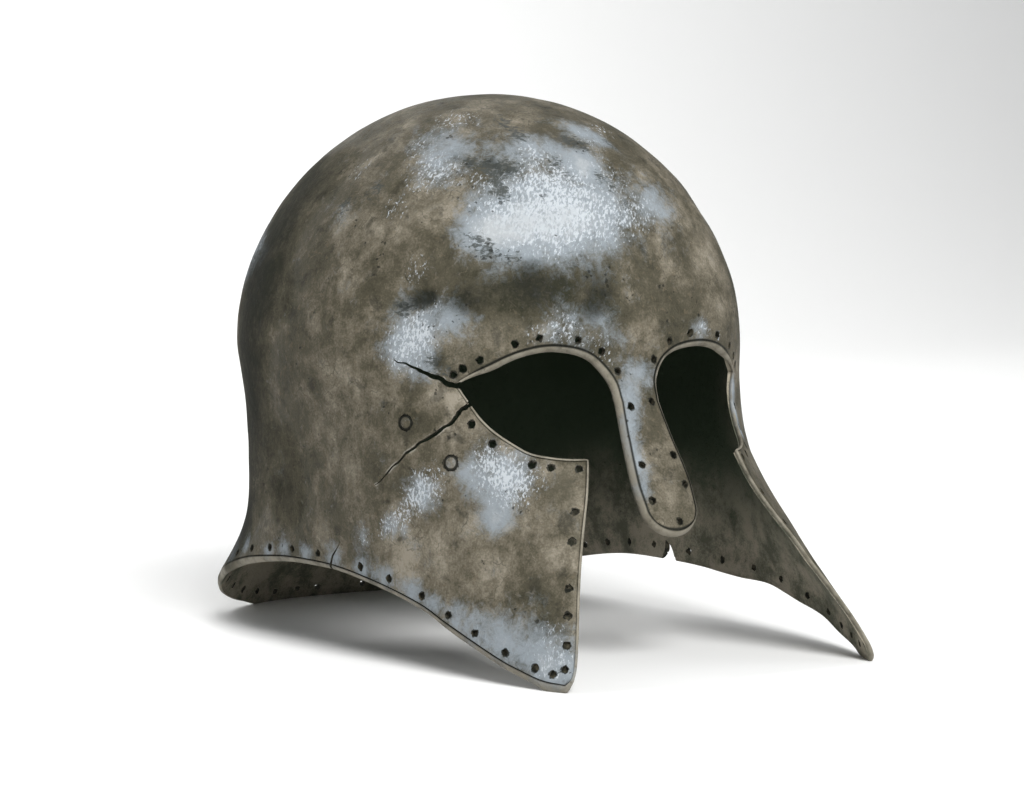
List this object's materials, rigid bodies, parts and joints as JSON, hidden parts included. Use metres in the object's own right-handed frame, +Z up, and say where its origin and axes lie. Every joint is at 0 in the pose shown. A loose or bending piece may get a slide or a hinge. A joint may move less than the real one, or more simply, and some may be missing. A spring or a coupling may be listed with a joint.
{
  "type": "ancient bronze helmet",
  "caption": "Ancient bronze helmet raised from one sheet, with a long nasal, pointed cheek guards, a flared neck guard and a cracked right side mended with flush rivets.",
  "frame": {"origin": "on the ground, under the middle of the helmet's plan", "axes": "+Z up towards the crown, -Y the way the wearer faces, -X the wearer's right"},
  "size_m": [0.2056, 0.301, 0.2345],
  "materials": {
    "shell_bronze": "dark brown and olive patina with pale bluish bloom, tan along the rims",
    "rivet_bronze": "dark brown patina"
  },
  "bodies": {
    "root": {"shell": "shell_bronze", "rivet_upper": "rivet_bronze", "rivet_lower": "rivet_bronze"}
  },
  "joints": []
}
